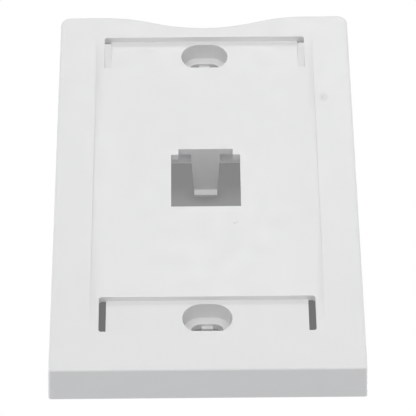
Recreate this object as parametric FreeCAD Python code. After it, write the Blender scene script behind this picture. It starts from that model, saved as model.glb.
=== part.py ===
"""One-port wall plate for structured cabling: a single white injection moulding.

It is drawn lying on its back, X across, Y up the wall and Z out of the wall from the back rim, and is
turned upright at the end, so that Z points up the wall and the front faces -Y.
"""
import FreeCAD, Part
import math
import os

V = FreeCAD.Vector

# Body: back rim, lean of each wall from the rim to the front edge, and the scallop in the top edge
plate_width = 69.85
plate_height = 116.4
plate_depth = 9.0
side_lean = 0.35
bottom_lean = 0.5
top_lean = 4.2
scallop_dip = 3.85
scallop_half_width = 24.5
top_corner_radius = 2.5
bottom_corner_radius = 0.7
front_edge_round = 0.45

# Walls of the hollow back
side_wall = 1.9
front_wall = 2.0
panel_wall = 1.7
rib_thickness = 1.3
rib_end = 1.6

# Plate screws, on the spacing of a wall box
screw_spacing = 83.3
recess_width = 11.1
recess_height = 8.3
seat_depth = 6.0
seat_thickness = 1.6
screw_slot_width = 7.4
screw_slot_height = 4.3
boss_wall = 1.5
keeper_width = 2.55
keeper_reach = 0.7
keeper_drop = 0.7
keeper_thickness = 0.6

# Label pockets, one round each screw and a little above it, with places for a cover's legs at the ends
pocket_width = 47.9
pocket_height = 10.3
pocket_depth = 1.5
pocket_rise = 0.15
pocket_corner = 0.7
slot_width = 1.55
leg_hole_height = 2.1
ramp_sill = 0.1
ramp_drop = 0.1

# Dished centre panel: a soft bell from pocket to pocket, with a cove and a fine groove along each side
panel_width = 51.8
panel_height = 92.0
panel_sink = 0.95
bell_easing = 0.6
cove_width = 8.0
cove_rise = 0.55
groove_depth = 0.25
groove_width = 1.9
groove_hold = 4
dish_columns = 54
dish_rows = 36

# Jack opening, its notch, the collar behind it and the snap finger
port_width = 16.0
port_height = 16.5
notch_width = 12.6
notch_height = 1.8
collar_clearance = 0.2
collar_wall = 1.4
collar_headroom = 3.0
collar_end = 0.3
finger_root_width = 6.75
finger_tip_width = 5.3
finger_root_thickness = 1.9
finger_tip_thickness = 1.4
finger_reach = 13.6
hook_drop = 1.7
hook_thickness = 1.5
hook_lead_in = 0.9
sill_catch_height = 0.8
sill_catch_depth = 1.5

# Overshoot of every cutter past the face it opens
past = 1.0

# Levels and edges that follow from the sizes above
screw_y = screw_spacing / 2
seat_level = plate_depth - seat_depth
pocket_level = plate_depth - pocket_depth
top_pocket_y = screw_y + pocket_rise
bottom_pocket_y = -screw_y + pocket_rise
panel_half_height = panel_height / 2
panel_level = plate_depth - panel_sink
panel_back = panel_level - panel_wall
port_top = port_height / 2
port_bottom = -port_height / 2
notch_top = port_top + notch_height
slot_outer = pocket_width / 2
slot_inner = slot_outer - slot_width
collar_half_width = port_width / 2 + collar_clearance
collar_top = notch_top + collar_headroom
collar_bottom = port_bottom - collar_clearance


def box(x0, x1, y0, y1, z0, z1):
    """Block between two corners."""
    return Part.makeBox(x1 - x0, y1 - y0, z1 - z0, V(x0, y0, z0))


def both_sides(shape):
    """The shape and its mirror image in the plate's centre plane."""
    return [shape, shape.mirror(V(0, 0, 0), V(1, 0, 0))]


def prism_across(points, half_width):
    """Closed outline in the YZ plane carried across the plate, centred on X = 0."""
    face = Part.Face(Part.makePolygon([V(-half_width, y, z) for y, z in points + points[:1]]))
    return face.extrude(V(2 * half_width, 0, 0))


def obround(width, height, centre_y, z0, z1):
    """Round-ended slot prism, long across the plate."""
    radius = height / 2
    flat = width / 2 - radius
    top, foot = centre_y + radius, centre_y - radius
    edges = [
        Part.makeLine(V(-flat, foot, z0), V(flat, foot, z0)),
        Part.Arc(V(flat, foot, z0), V(flat + radius, centre_y, z0), V(flat, top, z0)).toShape(),
        Part.makeLine(V(flat, top, z0), V(-flat, top, z0)),
        Part.Arc(V(-flat, top, z0), V(-flat - radius, centre_y, z0), V(-flat, foot, z0)).toShape(),
    ]
    return Part.Face(Part.Wire(edges)).extrude(V(0, 0, z1 - z0))


def scallop(shoulder, dip, z):
    """Top edge from the right shoulder to the left: two outer arcs and a middle one, all tangent."""
    run = scallop_half_width / 2
    ends = [V(2 * run, shoulder, z), V(run, shoulder - dip / 2, z), V(-run, shoulder - dip / 2, z),
            V(-2 * run, shoulder, z)]
    if dip == 0:
        return [Part.makeLine(a, b) for a, b in zip(ends, ends[1:])]
    radius = (run ** 2 + (dip / 2) ** 2) / dip
    half_turn = math.asin(run / radius) / 2
    mid_x = 2 * run - radius * math.sin(half_turn)
    mid_y = shoulder - radius * (1 - math.cos(half_turn))
    mids = [V(mid_x, mid_y, z), V(0, shoulder - dip, z), V(-mid_x, mid_y, z)]
    return [Part.Arc(a, m, b).toShape() for a, m, b in zip(ends, mids, ends[1:])]


def outline(z, inset):
    """Plate outline at a height above the rim, moved in by a wall's thickness."""
    share = z / plate_depth
    half = plate_width / 2 - side_lean * share - inset
    foot = -plate_height / 2 + bottom_lean * share + inset
    shoulder = plate_height / 2 - top_lean * share - inset
    top_radius = top_corner_radius - inset / 2

    def corner_arc(sx, sy, edge_y, radius):
        corner = radius * math.sqrt(0.5)
        cx, cy = sx * (half - radius), edge_y - sy * radius
        middle = V(cx + sx * corner, cy + sy * corner, z)
        return V(cx + sx * radius, cy, z), middle, V(cx, cy + sy * radius, z)

    br_side, br_mid, br_foot = corner_arc(1, -1, foot, bottom_corner_radius)
    tr_side, tr_mid, tr_top = corner_arc(1, 1, shoulder, top_radius)
    tl_side, tl_mid, tl_top = corner_arc(-1, 1, shoulder, top_radius)
    bl_side, bl_mid, bl_foot = corner_arc(-1, -1, foot, bottom_corner_radius)
    top_edges = scallop(shoulder, scallop_dip * share, z)
    edges = [
        Part.makeLine(bl_foot, br_foot),
        Part.Arc(br_foot, br_mid, br_side).toShape(),
        Part.makeLine(br_side, tr_side),
        Part.Arc(tr_side, tr_mid, tr_top).toShape(),
        Part.makeLine(tr_top, V(scallop_half_width, shoulder, z)),
        *top_edges,
        Part.makeLine(V(-scallop_half_width, shoulder, z), tl_top),
        Part.Arc(tl_top, tl_mid, tl_side).toShape(),
        Part.makeLine(tl_side, bl_side),
        Part.Arc(bl_side, bl_mid, bl_foot).toShape(),
    ]
    return Part.Wire(edges)


def panel_depth(x, y):
    """Depth of the panel below the front: an eased bell up the plate, less a parabolic cove at each side,
    plus a parabolic groove at each side line that holds its depth until near the ends.
    """
    share = (y / panel_half_height) ** 2
    bell = (1 - share) * (1 - bell_easing * share)
    inside = panel_width / 2 - abs(x)
    cove = max(0, 1 - inside / cove_width) ** 2
    groove = max(0, 1 - inside / groove_width) ** 2
    return bell * (panel_sink - cove_rise * cove) + groove_depth * (1 - share ** groove_hold) * groove


def panel_dish():
    """Cutter for the dished panel: a smooth surface through its depths, carried out past the front."""
    half, reach, brim = panel_width / 2, panel_half_height + past, plate_depth + past
    columns = [(half + past) * (2 * i / dish_columns - 1) for i in range(dish_columns + 1)]
    rows = [reach * (2 * i / dish_rows - 1) for i in range(dish_rows + 1)]
    surface = Part.BSplineSurface()
    surface.interpolate([[V(x, y, plate_depth - panel_depth(x, y)) for y in rows] for x in columns])
    above = surface.toShape().extrude(V(0, 0, panel_sink + 2 * past))
    return above.common(box(-half, half, -reach, reach, panel_back, brim))


def shell():
    """Outer body with its rounded front edge, hollowed from the back, with pads behind panel and pockets."""
    body = Part.makeLoft([outline(0, 0), outline(plate_depth, 0)], True, True)
    front_edges = [e for e in body.Edges if all(abs(v.Z - plate_depth) < 1e-6 for v in e.Vertexes)]
    body = body.makeFillet(front_edge_round, front_edges)
    hollow_top = plate_depth - front_wall
    hollow = Part.makeLoft([outline(-past, side_wall), outline(hollow_top, side_wall)], True, True)
    pad_half = panel_width / 2 + panel_wall
    pads = [box(-pad_half, pad_half, -panel_half_height, panel_half_height, panel_back, plate_depth)]
    for y in (top_pocket_y, bottom_pocket_y):
        reach = pocket_height / 2 + panel_wall
        pads.append(box(-pad_half, pad_half, y - reach, y + reach, pocket_level - panel_wall, plate_depth))
    return body.cut(hollow.cut(pads))


def screw_boss(centre_y):
    """Column behind the front that carries a screw's seat."""
    width, height = recess_width + 2 * boss_wall, recess_height + 2 * boss_wall
    return obround(width, height, centre_y, seat_level - seat_thickness, pocket_level)


def screw_cuts(centre_y):
    """Recess for the screw's head, open to the front, and the slot through its seat."""
    recess = obround(recess_width, recess_height, centre_y, seat_level, plate_depth + past)
    slot_foot = seat_level - seat_thickness - past
    return [recess, obround(screw_slot_width, screw_slot_height, centre_y, slot_foot, seat_level + past)]


def screw_keeper(centre_y):
    """Small tab in the slot that keeps a screw from falling out."""
    upper = seat_level - keeper_drop
    edge = centre_y + screw_slot_height / 2
    half = keeper_width / 2
    return box(-half, half, edge - keeper_reach, edge + past, upper - keeper_thickness, upper)


def pocket_floor(centre_y):
    """Level floor of a label pocket, between the places of the cover's legs."""
    reach = pocket_height / 2
    return box(-slot_inner, slot_inner, centre_y - reach, centre_y + reach, pocket_level, plate_depth + past)


def leg_opening(upper, foot, rounded):
    """Opening right through for one leg of a label cover, its outer corners rounded at the given heights."""
    opening = box(slot_inner, slot_outer, foot, upper, 0, plate_depth + past)
    corners = [e for e in opening.Edges
               if any(all(abs(v.X - slot_outer) + abs(v.Y - y) < 1e-6 for v in e.Vertexes) for y in rounded)]
    return opening.makeFillet(pocket_corner, corners)


def top_pocket_cuts():
    """Label pocket over the upper screw: a leg hole in each upper corner and a ramp below it."""
    upper, foot = top_pocket_y + pocket_height / 2, top_pocket_y - pocket_height / 2
    brim = plate_depth + past
    ramp_top = upper - leg_hole_height
    ramp_side = [(ramp_top, plate_depth - ramp_sill), (ramp_top, brim),
                 (foot, brim), (foot, pocket_level - ramp_drop)]
    ramp = prism_across(ramp_side, slot_width / 2)
    ramp.translate(V(slot_outer - slot_width / 2, 0, 0))
    leg_hole = leg_opening(upper, ramp_top, [upper])
    return [pocket_floor(top_pocket_y), *both_sides(ramp), *both_sides(leg_hole)]


def bottom_pocket_cuts():
    """Label pocket over the lower screw: a leg slot as tall as the pocket at each end."""
    upper, foot = bottom_pocket_y + pocket_height / 2, bottom_pocket_y - pocket_height / 2
    return [pocket_floor(bottom_pocket_y), *both_sides(leg_opening(upper, foot, [upper, foot]))]


def port_cuts():
    """Jack opening and the narrower notch above it."""
    brim = plate_depth + past
    half, notch_half = port_width / 2, notch_width / 2
    return [box(-half, half, port_bottom, port_top, 0, brim),
            box(-notch_half, notch_half, port_top, notch_top, panel_back, brim)]


def collar():
    """Square tube behind the opening that guides the jack, with headroom for the snap finger."""
    half = collar_half_width + collar_wall
    outer = box(-half, half, collar_bottom - collar_wall, collar_top + collar_wall, collar_end, panel_level)
    inner = box(-collar_half_width, collar_half_width, collar_bottom, collar_top, -past, panel_back)
    return outer.cut(inner)


def sill_catch():
    """Fixed ledge along the foot of the collar's mouth, facing the snap finger."""
    ledge_top = collar_bottom + sill_catch_height
    ledge_front = collar_end + sill_catch_depth
    sill = [(collar_bottom, collar_end), (ledge_top, collar_end + sill_catch_depth / 2),
            (ledge_top, ledge_front), (collar_bottom, ledge_front)]
    return prism_across(sill, collar_half_width)


def snap_finger():
    """Tapered tongue from the notch straight back through the collar, with a hook hanging from its end."""
    root, ledge = panel_back, panel_level - finger_reach
    sunk_root, tip = root + panel_wall / 2, ledge - hook_thickness
    hook_foot, root_top = notch_top - hook_drop, notch_top + finger_root_thickness
    side = [(notch_top, sunk_root), (notch_top, ledge), (hook_foot, ledge), (hook_foot, tip + hook_lead_in),
            (hook_foot + hook_lead_in, tip), (notch_top + finger_tip_thickness, tip),
            (root_top, root), (root_top, sunk_root)]
    blank = prism_across(side, finger_root_width / 2)
    root_half, tip_half = finger_root_width / 2, finger_tip_width / 2
    floor_y = hook_foot - past
    plan = [V(-root_half, floor_y, root + panel_wall), V(root_half, floor_y, root + panel_wall),
            V(root_half, floor_y, root), V(tip_half, floor_y, tip), V(-tip_half, floor_y, tip),
            V(-root_half, floor_y, root)]
    height = hook_drop + finger_root_thickness + 2 * past
    taper = Part.Face(Part.makePolygon(plan + plan[:1])).extrude(V(0, height, 0))
    return blank.common(taper)


def ribs():
    """Stiffening ribs: one from each screw boss to the collar, one from the collar to each side wall."""
    half = rib_thickness / 2
    boss_edge = recess_height / 2 + boss_wall / 2
    upper = box(-half, half, collar_top + collar_wall / 2, screw_y - boss_edge, rib_end, panel_level)
    lower = box(-half, half, -screw_y + boss_edge, collar_bottom - collar_wall / 2, rib_end, panel_level)
    middle = (collar_top + collar_bottom) / 2
    inner, outer = collar_half_width + collar_wall / 2, plate_width / 2 - side_lean - side_wall / 2
    across = box(inner, outer, middle - half, middle + half, rib_end, panel_level)
    return [upper, lower, *both_sides(across)]


def wall_plate():
    """The whole moulding, upright: front towards -Y, back rim on Y = 0, screw pattern about the origin."""
    screws = (screw_y, -screw_y)
    plate = shell().fuse([screw_boss(y) for y in screws] + [collar()] + ribs())
    cuts = [panel_dish()] + top_pocket_cuts() + bottom_pocket_cuts() + port_cuts()
    for y in screws:
        cuts += screw_cuts(y)
    plate = plate.cut(cuts)
    plate = plate.fuse([snap_finger(), sill_catch()] + [screw_keeper(y) for y in screws]).removeSplitter()
    plate.rotate(V(0, 0, 0), V(1, 0, 0), 90)
    return plate


os.makedirs("parts", exist_ok=True)
plate = wall_plate()
plate.exportStep("parts/wall_plate.step")
bounds = plate.BoundBox
print("solids", len(plate.Solids), "valid", plate.isValid(), "volume %.0f mm3" % plate.Volume)
print("X %.2f %.2f  Y %.2f %.2f  Z %.2f %.2f"
      % (bounds.XMin, bounds.XMax, bounds.YMin, bounds.YMax, bounds.ZMin, bounds.ZMax))
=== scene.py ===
"""Looks of a one-port wall plate: satin white moulded plastic in plain studio light, seen from below."""

import math

import bpy
import numpy as np
from mathutils import Matrix, Vector

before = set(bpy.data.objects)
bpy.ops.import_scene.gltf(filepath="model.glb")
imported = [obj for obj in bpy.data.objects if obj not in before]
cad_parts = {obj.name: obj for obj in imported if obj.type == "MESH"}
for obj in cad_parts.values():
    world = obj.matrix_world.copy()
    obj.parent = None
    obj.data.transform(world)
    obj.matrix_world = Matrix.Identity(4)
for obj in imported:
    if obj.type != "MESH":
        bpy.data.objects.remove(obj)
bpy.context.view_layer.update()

MM = 0.001
WHITE = (1.0, 1.0, 1.0)

# Camera: the view's angles, its distance from the screw pattern's centre and its lens, for a square picture
PICTURE_PX = 416
VIEW_BELOW = math.radians(43.430)
VIEW_ASIDE = math.radians(0.243)
VIEW_ROLL = math.radians(-0.641)
VIEW_DISTANCE = 683.16 * MM
LENS_PX = 2944.3
CENTRE_RIGHT_PX = 2.05
CENTRE_BELOW_PX = 3.58
SENSOR_WIDTH = 36.0

# Floor: height and side in mm, its grey, and the share of plain white in what the camera sees of it
FLOOR_LEVEL = -1450.0
FLOOR_SIDE = 12000.0
FLOOR_GREY = 0.77
FLOOR_WHITE = 0.9

# Even light from all round, a little cool
FILL_STRENGTH = 0.405
FILL_COLOUR = (0.970, 1.0, 1.035)

# Square soft lamps that face the plate: name, place and side in metres, watts, share of diffuse light, colour
WARM_WHITE = (1.0, 0.985, 0.955)
LAMPS = (
    ("key", (-0.06, -1.57, -0.50), 1.80, 14.7, 1.0, WARM_WHITE),
    ("softbox", (0.05, -1.00, 1.07), 0.35, 1.8, 0.1, WHITE),
    ("behind", (0.50, 1.60, 0.70), 1.00, 10.0, 1.0, WHITE),
    ("left", (-1.50, 0.15, 0.25), 1.00, 8.5, 1.0, WHITE),
    ("right", (1.50, 0.15, 0.25), 1.00, 8.5, 1.0, WHITE),
)

# Painted shade behind the port, a sheet glowing grey for the camera only: name, corner and two sides in mm,
# grey
PORT_SHADE = ("port_shade", (-11.0, 24.0, 20.0), (22.0, 0, 0), (0, -19.0, 0), 0.30)

# Its painted shading: the Y span in mm over which it lightens, the tone it starts from, and the finger's
# painted shadow on it
PORT_PAINTED_SHADE_SPAN = (13.0, 22.0)
PORT_PAINTED_SHADE_START = 0.80
PAINTED_FINGER_SHADOW = (0.0, 18.0, 6.0, 4.0, 0.20, 0.18)

# Painted shade inside the leg holes and slots and the screw slots, on sheets that also block light: as for
# the port
SLOT_SHADES = (
    ("upper_leg_shade_left", (-24.1, -5.85, 44.6), (1.8, 0, 0), (0, 0, 2.5), 0.20),
    ("upper_leg_shade_right", (22.3, -5.85, 44.6), (1.8, 0, 0), (0, 0, 2.5), 0.20),
    ("lower_leg_shade_left", (-24.1, -7.20, -46.8), (1.8, 0, 0), (0, 0, 10.6), 0.17),
    ("lower_leg_shade_right", (22.3, -7.20, -46.8), (1.8, 0, 0), (0, 0, 10.6), 0.17),
    ("upper_screw_shade", (-3.8, -1.45, 39.3), (7.6, 0, 0), (0, 0, 4.7), 0.20),
    ("lower_screw_shade", (-3.8, -1.45, -44.0), (7.6, 0, 0), (0, 0, 4.7), 0.20),
)

# Flags that keep light off the snap finger, unseen by the camera: name, corner and two sides in mm
FLAG_GREY = 0.06
FLAGS = (
    ("flag_below", (-8.6, 0.0, -9.0), (17.2, 0, 0), (0, 16.0, 0)),
    ("flag_left", (-8.6, 0.0, -9.0), (0, 16.0, 0), (0, 0, 17.0)),
    ("flag_right", (8.6, 0.0, -9.0), (0, 16.0, 0), (0, 0, 17.0)),
)

# Plastic: colour, roughness span, then its clouding, sheen and moulded grain, with scales in cells per metre
PLASTIC_COLOUR = (0.812, 0.812, 0.812)
PLASTIC_ROUGHNESS = (0.28, 0.36)
NOISE_SPAN = (0.3, 0.7)
CLOUD_SCALE = 55.0
CLOUD_DETAIL = 2.0
CLOUD_SPREAD = 0.006
SHEEN_SCALE = 260.0
SHEEN_DETAIL = 3.0
GRAIN_SCALE = 1900.0
GRAIN_DETAIL = 2.0
GRAIN_STRENGTH = 0.10
GRAIN_HEIGHT = 0.00003

# Faint grey marks on the front: X, Z, half width, half height in mm, share that is core, strength
MARKS = (
    (28.05, 26.06, 1.40, 1.85, 0.45, 0.10),
    (27.75, 26.00, 0.80, 1.20, 0.20, 0.16),
    (6.39, -13.59, 0.42, 0.30, 0.30, 0.22),
    (6.97, -13.35, 0.36, 0.28, 0.30, 0.20),
)

# The marks lie only on surfaces nearer the room than this Y, in mm
MARKS_LIMIT_Y = -7.5


def node_tree(owner):
    """An owner's emptied node tree with a new output node."""
    owner.use_nodes = True
    tree = owner.node_tree
    tree.nodes.clear()
    kind = "ShaderNodeOutputWorld" if isinstance(owner, bpy.types.World) else "ShaderNodeOutputMaterial"
    return tree, tree.nodes.new(kind)


def flat_sheet(name, corner, side_a, side_b):
    """Sheet of one face, in mm: corner plus none or all of each side. It faces along side a cross side b."""
    shares = np.array([(0, 0), (1, 0), (1, 1), (0, 1)])
    points = MM * (np.array(corner) + shares @ np.array([side_a, side_b]))
    mesh = bpy.data.meshes.new(name)
    mesh.from_pydata(points.tolist(), [], [(0, 1, 2, 3)])
    sheet = bpy.data.objects.new(name, mesh)
    bpy.context.scene.collection.objects.link(sheet)
    return sheet


def scalar(nodes, links, operation, a, b=0.0, c=0.0):
    """Math node of the given operation; an input that is a number is set, any other is linked."""
    node = nodes.new("ShaderNodeMath")
    node.operation = operation
    for socket, value in zip(node.inputs, (a, b, c)):
        if isinstance(value, (int, float)):
            socket.default_value = value
        else:
            links.new(value, socket)
    return node.outputs[0]


def ramp_between(nodes, links, value, low, high, at_low, at_high, smooth=False):
    """Value mapped from one span to another, clamped at both ends."""
    node = nodes.new("ShaderNodeMapRange")
    node.interpolation_type = "SMOOTHSTEP" if smooth else "LINEAR"
    for name, number in (("From Min", low), ("From Max", high), ("To Min", at_low), ("To Max", at_high)):
        node.inputs[name].default_value = number
    links.new(value, node.inputs["Value"])
    return node.outputs["Result"]


def noise(nodes, links, place, scale, detail):
    """Noise value over the object's own coordinates."""
    node = nodes.new("ShaderNodeTexNoise")
    node.inputs["Scale"].default_value = scale
    node.inputs["Detail"].default_value = detail
    links.new(place, node.inputs["Vector"])
    return node.outputs["Fac"]


def object_place(nodes, links):
    """The object's own coordinates, whole and as X, Y and Z."""
    place = nodes.new("ShaderNodeTexCoord").outputs["Object"]
    split = nodes.new("ShaderNodeSeparateXYZ")
    links.new(place, split.inputs[0])
    return place, *split.outputs


def mark_and_shadow_spot(nodes, links, across, along, spot):
    """Soft elliptical spot, for a real mark and for a painted shadow: its strength in the core, falling
    smoothly to nothing at the rim.
    """
    middle_across, middle_along, half_across, half_along, core, strength = spot
    a = scalar(nodes, links, "MULTIPLY_ADD", across, 1 / (half_across * MM), -middle_across / half_across)
    b = scalar(nodes, links, "MULTIPLY_ADD", along, 1 / (half_along * MM), -middle_along / half_along)
    b_squared = scalar(nodes, links, "MULTIPLY", b, b)
    radius = scalar(nodes, links, "SQRT", scalar(nodes, links, "MULTIPLY_ADD", a, a, b_squared))
    return ramp_between(nodes, links, radius, core, 1.0, strength, 0.0, smooth=True)


def white_plastic():
    """Satin moulded plastic: a barely uneven white, fine texture in gloss and surface, a few faint marks."""
    material = bpy.data.materials.new("white_plastic")
    tree, output = node_tree(material)
    nodes, links = tree.nodes, tree.links
    shader = nodes.new("ShaderNodeBsdfPrincipled")
    links.new(shader.outputs["BSDF"], output.inputs["Surface"])
    place, across, depth, up = object_place(nodes, links)

    cloud = noise(nodes, links, place, CLOUD_SCALE, CLOUD_DETAIL)
    tone = ramp_between(nodes, links, cloud, *NOISE_SPAN, 1.0 - CLOUD_SPREAD, 1.0 + CLOUD_SPREAD)
    soiled = 0.0
    for spot in MARKS:
        soiled = scalar(nodes, links, "MAXIMUM", mark_and_shadow_spot(nodes, links, across, up, spot), soiled)
    in_front = scalar(nodes, links, "LESS_THAN", depth, MARKS_LIMIT_Y * MM)
    clean = scalar(nodes, links, "SUBTRACT", 1.0, scalar(nodes, links, "MULTIPLY", soiled, in_front))
    colour = nodes.new("ShaderNodeVectorMath")
    colour.operation = "SCALE"
    colour.inputs[0].default_value = PLASTIC_COLOUR
    links.new(scalar(nodes, links, "MULTIPLY", tone, clean), colour.inputs["Scale"])
    links.new(colour.outputs["Vector"], shader.inputs["Base Color"])

    sheen = noise(nodes, links, place, SHEEN_SCALE, SHEEN_DETAIL)
    roughness = ramp_between(nodes, links, sheen, *NOISE_SPAN, *PLASTIC_ROUGHNESS)
    links.new(roughness, shader.inputs["Roughness"])

    bump = nodes.new("ShaderNodeBump")
    bump.inputs["Strength"].default_value = GRAIN_STRENGTH
    bump.inputs["Distance"].default_value = GRAIN_HEIGHT
    links.new(noise(nodes, links, place, GRAIN_SCALE, GRAIN_DETAIL), bump.inputs["Height"])
    links.new(bump.outputs["Normal"], shader.inputs["Normal"])
    return material


def seen(nodes, links):
    """One for rays from the camera, through glass and off gloss, nought for the rest."""
    path = nodes.new("ShaderNodeLightPath")
    camera, glass, gloss = (path.outputs["Is %s Ray" % kind] for kind in ("Camera", "Transmission", "Glossy"))
    return scalar(nodes, links, "MAXIMUM", scalar(nodes, links, "MAXIMUM", camera, glass), gloss)


def mix_shaders(tree, output, share, first, second):
    """The first shader where the share is nought, the second where it is one, on the output's surface."""
    mix = tree.nodes.new("ShaderNodeMixShader")
    for socket, value in zip(mix.inputs, (share, first, second)):
        tree.links.new(value, socket)
    tree.links.new(mix.outputs["Shader"], output.inputs["Surface"])


def studio_world():
    """White to the camera and to reflections, a soft even fill to everything else."""
    world = bpy.data.worlds.new("studio")
    bpy.context.scene.world = world
    tree, output = node_tree(world)
    backgrounds = []
    for colour, strength in ((FILL_COLOUR, FILL_STRENGTH), (WHITE, 1.0)):
        background = tree.nodes.new("ShaderNodeBackground")
        background.inputs["Color"].default_value = (*colour, 1.0)
        background.inputs["Strength"].default_value = strength
        backgrounds.append(background.outputs["Background"])
    mix_shaders(tree, output, seen(tree.nodes, tree.links), *backgrounds)


def grey_diffuse(nodes, grey):
    """Matt grey shader."""
    diffuse = nodes.new("ShaderNodeBsdfDiffuse")
    diffuse.inputs["Color"].default_value = (grey, grey, grey, 1.0)
    return diffuse.outputs["BSDF"]


def studio_floor():
    """Pale floor far below the plate: mostly white to the camera and to reflections, shadowed in the rest."""
    half = FLOOR_SIDE / 2
    floor = flat_sheet("floor", (-half, -half, FLOOR_LEVEL), (FLOOR_SIDE, 0, 0), (0, FLOOR_SIDE, 0))
    material = bpy.data.materials.new("pale_floor")
    tree, output = node_tree(material)
    nodes, links = tree.nodes, tree.links
    white = nodes.new("ShaderNodeEmission").outputs["Emission"]
    share = scalar(nodes, links, "MULTIPLY", seen(nodes, links), FLOOR_WHITE)
    mix_shaders(tree, output, share, grey_diffuse(nodes, FLOOR_GREY), white)
    floor.data.materials.append(material)


def soft_lamp(name, place, side, power, diffuse, colour):
    """Square soft lamp that faces the screw pattern's centre."""
    lamp = bpy.data.lights.new(name, "AREA")
    lamp.shape = "SQUARE"
    lamp.size = side
    lamp.energy = power
    lamp.diffuse_factor = diffuse
    lamp.color = colour
    holder = bpy.data.objects.new(name, lamp)
    holder.location = place
    holder.rotation_euler = (-Vector(place)).to_track_quat("-Z", "Y").to_euler()
    bpy.context.scene.collection.objects.link(holder)


def painted_port_shade(nodes, links):
    """Painted shade over the port's sheet: smoothly lighter further back, less the finger's soft painted
    shadow.
    """
    _, across, back, _ = object_place(nodes, links)
    near, far = (MM * depth for depth in PORT_PAINTED_SHADE_SPAN)
    tone = ramp_between(nodes, links, back, near, far, PORT_PAINTED_SHADE_START, 1.0, smooth=True)
    lit = scalar(nodes, links, "SUBTRACT", 1.0, mark_and_shadow_spot(nodes, links, across, back, PAINTED_FINGER_SHADOW))
    return scalar(nodes, links, "MULTIPLY", tone, lit)


def shade(name, corner, side_a, side_b, grey, blocks_light, tone=None):
    """Sheet behind an opening that glows grey from its front, painted shade, and is clear from its back. A
    tone varies its grey.
    """
    sheet = flat_sheet(name, corner, side_a, side_b)
    material = bpy.data.materials.new(name)
    tree, output = node_tree(material)
    nodes, links = tree.nodes, tree.links
    # The sheet glows grey: painted shade that the lamps don't light
    painted_shade_glow = nodes.new("ShaderNodeEmission")
    painted_shade_glow.inputs["Color"].default_value = (grey, grey, grey, 1.0)
    if tone:
        links.new(tone(nodes, links), painted_shade_glow.inputs["Strength"])
    behind = nodes.new("ShaderNodeNewGeometry").outputs["Backfacing"]
    clear = nodes.new("ShaderNodeBsdfTransparent").outputs["BSDF"]
    mix_shaders(tree, output, behind, painted_shade_glow.outputs["Emission"], clear)
    sheet.data.materials.append(material)
    for ray in ("diffuse", "glossy", "transmission", "shadow"):
        setattr(sheet, "visible_" + ray, blocks_light)


def flag(name, corner, side_a, side_b):
    """Dark sheet that the camera doesn't see and that only blocks light."""
    sheet = flat_sheet(name, corner, side_a, side_b)
    material = bpy.data.materials.new(name)
    tree, output = node_tree(material)
    tree.links.new(grey_diffuse(tree.nodes, FLAG_GREY), output.inputs["Surface"])
    sheet.data.materials.append(material)
    sheet.visible_camera = False


def photo_camera():
    """Camera in front of the plate and below it, looking up at the screw pattern's centre."""
    ahead = Vector((math.sin(VIEW_ASIDE) * math.cos(VIEW_BELOW),
                    math.cos(VIEW_ASIDE) * math.cos(VIEW_BELOW),
                    math.sin(VIEW_BELOW)))
    level_right = ahead.cross(Vector((0, 0, 1))).normalized()
    level_up = level_right.cross(ahead)
    right = math.cos(VIEW_ROLL) * level_right + math.sin(VIEW_ROLL) * level_up
    up = math.cos(VIEW_ROLL) * level_up - math.sin(VIEW_ROLL) * level_right
    turn = Matrix((right, up, -ahead)).transposed().to_4x4()
    lens = bpy.data.cameras.new("camera")
    lens.sensor_width = SENSOR_WIDTH
    lens.lens = LENS_PX / PICTURE_PX * SENSOR_WIDTH
    lens.shift_x = CENTRE_RIGHT_PX / PICTURE_PX
    lens.shift_y = -CENTRE_BELOW_PX / PICTURE_PX
    camera = bpy.data.objects.new("camera", lens)
    camera.matrix_world = Matrix.Translation(-VIEW_DISTANCE * ahead) @ turn
    bpy.context.scene.collection.objects.link(camera)
    bpy.context.scene.camera = camera


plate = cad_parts["wall_plate"]
plate.data.materials.clear()
plate.data.materials.append(white_plastic())

studio_world()
studio_floor()
for lamp in LAMPS:
    soft_lamp(*lamp)
# Painted shade: sheets that glow grey behind the port and inside the slots and screw slots
shade(*PORT_SHADE, blocks_light=False, tone=painted_port_shade)
for sheet in SLOT_SHADES:
    shade(*sheet, blocks_light=True)
for sheet in FLAGS:
    flag(*sheet)
photo_camera()
bpy.context.scene.view_settings.view_transform = "Standard"
